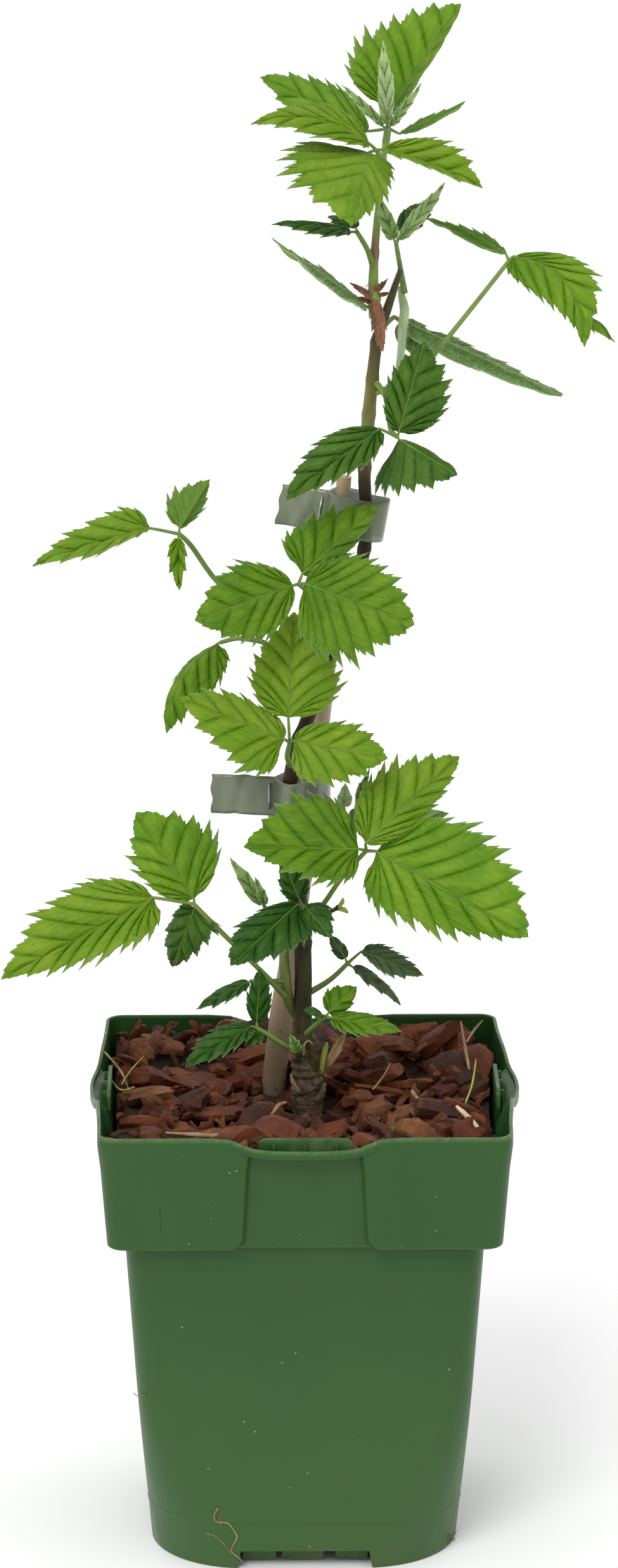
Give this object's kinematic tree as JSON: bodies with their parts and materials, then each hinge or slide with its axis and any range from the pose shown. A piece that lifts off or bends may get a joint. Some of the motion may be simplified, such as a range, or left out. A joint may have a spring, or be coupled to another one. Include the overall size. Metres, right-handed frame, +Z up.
{
  "type": "potted bramble bush",
  "caption": "Young bramble with toothed three-part leaves, tied to a bamboo cane, in a square green plastic pot topped with bark mulch.",
  "frame": {"origin": "middle of the pot's underside, on the surface that it stands on", "axes": "+Z up, -Y toward the side that the picture shows, +X to that side's right"},
  "size_m": [0.1976, 0.1384, 0.5014],
  "materials": {
    "pot_plastic": "satin green, slightly scuffed",
    "soil": "damp peat",
    "bark": "red-brown bark chips",
    "bamboo": "dry, pale tan",
    "cane_bark": "brown-green living bark",
    "green_stem": "hairy living green shoot",
    "leaf_green": "living leaf, soft sheen",
    "leaf_dark_green": "living leaf, darker",
    "leaf_hairy_green": "living leaf with pale hairs",
    "leaf_dull_green": "fading leaf with brown spots",
    "tie_tape": "grey-green, slightly see-through",
    "staple_wire": "plain wire"
  },
  "bodies": {
    "root": {"pot": "pot_plastic", "potting_soil": "soil", "bark_mulch": "bark", "bamboo_cane": "bamboo", "main_cane": "cane_bark", "upper_shoot": "green_stem", "lateral_shoot": "green_stem", "young_shoot": "green_stem", "tie_lower": "tie_tape", "tie_upper": "tie_tape", "staple_lower": "staple_wire", "staple_upper": "staple_wire", "leaf_top_back": "leaf_green", "leaf_top_front": "leaf_green", "leaf_top_folded": "leaf_hairy_green", "leaf_young_right": "leaf_hairy_green", "leaf_young_left": "leaf_dark_green", "leaf_narrow_left": "leaf_hairy_green", "leaf_far_right": "leaf_green", "leaf_long_right": "leaf_hairy_green", "leaf_dark_upper": "leaf_dark_green", "leaf_middle": "leaf_green", "leaf_far_left": "leaf_green", "leaf_drooping_left": "leaf_dark_green", "leaf_lower_middle": "leaf_green", "leaf_lower_right": "leaf_green", "leaf_lower_left": "leaf_green", "leaf_dark_lower": "leaf_dark_green", "leaf_bud_left": "leaf_hairy_green", "leaf_dull_right": "leaf_dull_green", "leaf_crown_right": "leaf_green", "leaf_crown_left": "leaf_dark_green", "leaf_low_left_small": "leaf_dark_green", "leaf_small_behind": "leaf_hairy_green", "leaf_bud_middle": "leaf_hairy_green"}
  },
  "joints": []
}
